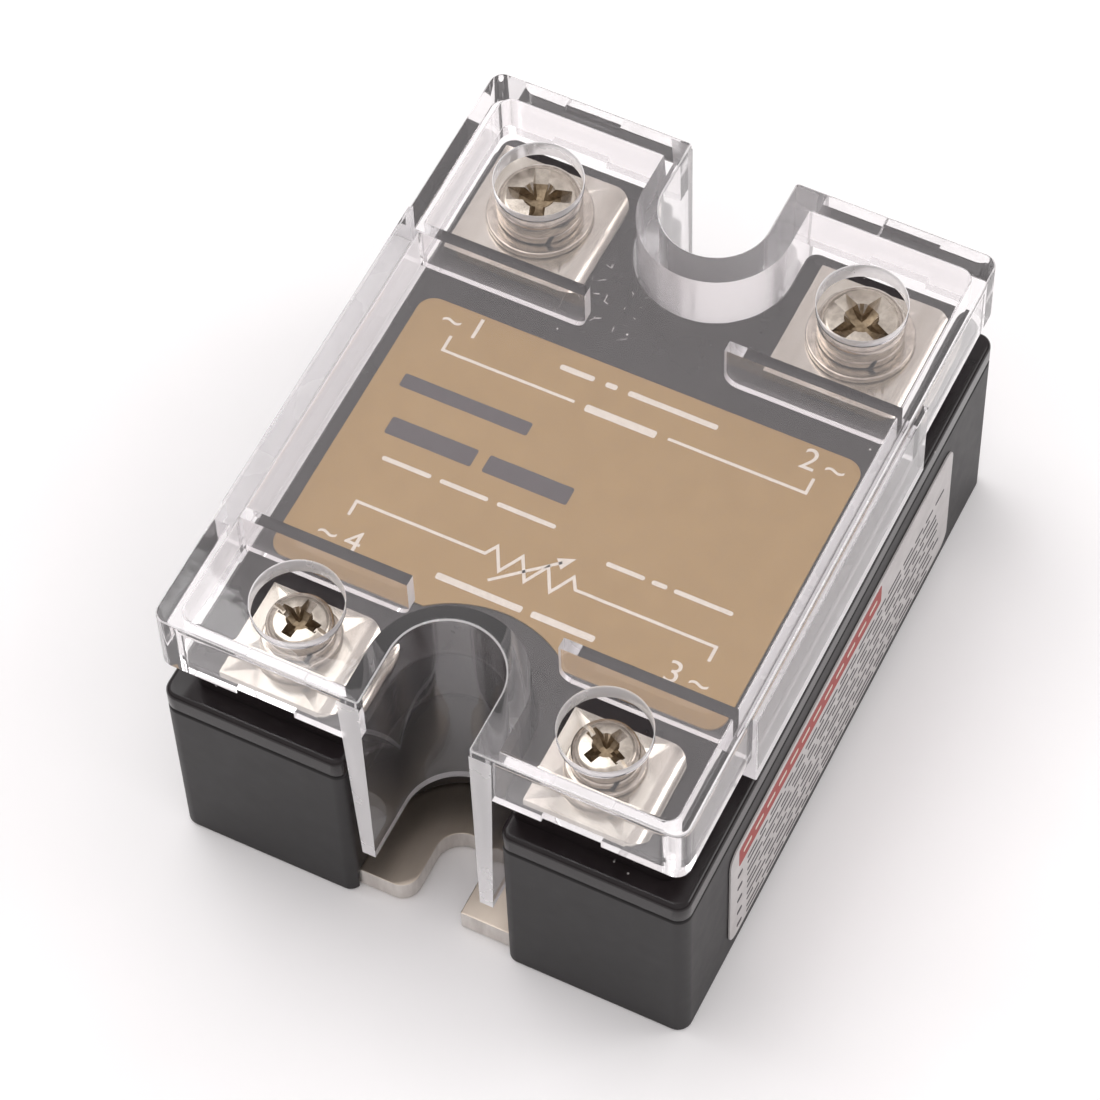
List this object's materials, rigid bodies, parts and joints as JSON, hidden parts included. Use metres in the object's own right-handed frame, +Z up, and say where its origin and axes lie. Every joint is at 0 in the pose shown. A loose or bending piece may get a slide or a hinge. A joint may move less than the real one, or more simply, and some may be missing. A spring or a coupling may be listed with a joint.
{
  "type": "solid state relay",
  "caption": "Panel-mount solid state relay: flat metal base with mounting slot and hole, black stepped case, screw terminals and a clear clip-fitted cover.",
  "frame": {"origin": "centre of the base plate's underside, the face that lies on the heat sink", "axes": "+X across the relay, +Y towards the load terminals along its length, +Z up out of the screw heads"},
  "size_m": [0.0454, 0.0584, 0.031],
  "materials": {
    "base_metal": "satin plated",
    "case_plastic": "satin moulded",
    "lid_plastic": "semi-gloss moulded",
    "clear_plastic": "clear polished moulding",
    "label_gold": "satin printed film",
    "label_grey": "satin printed film",
    "nickel": "nickel plated",
    "steel": "zinc plated",
    "copper": "bright copper",
    "ceramic": "matt alumina",
    "silicon": "polished die",
    "board": "solder mask",
    "resin": "cast",
    "part_red": "dipped",
    "part_black": "moulded",
    "part_tan": "lacquered",
    "part_blue": "lacquered"
  },
  "bodies": {
    "relay": {"base_plate": "base_metal", "case_shell": "case_plastic", "case_lid": "lid_plastic", "face_label": "label_gold", "side_label": "label_grey", "ceramic_substrate": "ceramic", "potting_resin": "resin", "circuit_board": "board", "snubber_capacitor": "part_red", "timing_capacitor": "part_red", "trigger_optocoupler": "part_black", "snubber_resistor": "part_tan", "gate_resistor": "part_blue", "input_resistor": "part_blue", "trigger_diac": "part_red", "surge_varistor": "part_blue", "terminal_plate_load_1": "nickel", "captive_nut_load_1": "steel", "power_lead_load_1": "copper", "thyristor_chip_load_1": "silicon", "gate_pin_load_1": "copper", "terminal_plate_load_2": "nickel", "captive_nut_load_2": "steel", "power_lead_load_2": "copper", "thyristor_chip_load_2": "silicon", "gate_pin_load_2": "copper", "terminal_plate_control_3": "nickel", "captive_nut_control_3": "steel", "control_lead_control_3": "copper", "terminal_plate_control_4": "nickel", "captive_nut_control_4": "steel", "control_lead_control_4": "copper"},
    "cover": {"clear_cover": "clear_plastic"},
    "washers_load_1": {"flat_washer_load_1": "nickel", "spring_washer_load_1": "nickel"},
    "screw_load_1": {"terminal_screw_load_1": "nickel"},
    "washers_load_2": {"flat_washer_load_2": "nickel", "spring_washer_load_2": "nickel"},
    "screw_load_2": {"terminal_screw_load_2": "nickel"},
    "washers_control_3": {"flat_washer_control_3": "nickel", "spring_washer_control_3": "nickel"},
    "screw_control_3": {"terminal_screw_control_3": "nickel"},
    "washers_control_4": {"flat_washer_control_4": "nickel", "spring_washer_control_4": "nickel"},
    "screw_control_4": {"terminal_screw_control_4": "nickel"}
  },
  "joints": [
    {"name": "cover_lift", "type": "slide", "parent": "relay", "child": "cover", "axis": [0, 0, 1], "range_m": [0, 0.024]},
    {"name": "rise_load_1", "type": "slide", "parent": "relay", "child": "washers_load_1", "axis": [0, 0, 1], "range_m": [0, 0.0021]},
    {"name": "turn_load_1", "type": "hinge", "parent": "washers_load_1", "child": "screw_load_1", "pos_m": [-0.0142, 0.0205, 0.0271], "axis": [0, 0, 1], "range_deg": [0, 1080]},
    {"name": "rise_load_2", "type": "slide", "parent": "relay", "child": "washers_load_2", "axis": [0, 0, 1], "range_m": [0, 0.0021]},
    {"name": "turn_load_2", "type": "hinge", "parent": "washers_load_2", "child": "screw_load_2", "pos_m": [0.0142, 0.0205, 0.0271], "axis": [0, 0, 1], "range_deg": [0, 1080]},
    {"name": "rise_control_3", "type": "slide", "parent": "relay", "child": "washers_control_3", "axis": [0, 0, 1], "range_m": [0, 0.002]},
    {"name": "turn_control_3", "type": "hinge", "parent": "washers_control_3", "child": "screw_control_3", "pos_m": [0.01293, -0.023, 0.0271], "axis": [0, 0, 1], "range_deg": [0, 1440]},
    {"name": "rise_control_4", "type": "slide", "parent": "relay", "child": "washers_control_4", "axis": [0, 0, 1], "range_m": [0, 0.002]},
    {"name": "turn_control_4", "type": "hinge", "parent": "washers_control_4", "child": "screw_control_4", "pos_m": [-0.01293, -0.023, 0.0271], "axis": [0, 0, 1], "range_deg": [0, 1440]}
  ],
  "couplings": [
    {"joint": "turn_load_1", "follows": "rise_load_1", "rad_per_m": 8976},
    {"joint": "turn_load_2", "follows": "rise_load_2", "rad_per_m": 8976},
    {"joint": "turn_control_3", "follows": "rise_control_3", "rad_per_m": 12566},
    {"joint": "turn_control_4", "follows": "rise_control_4", "rad_per_m": 12566}
  ]
}
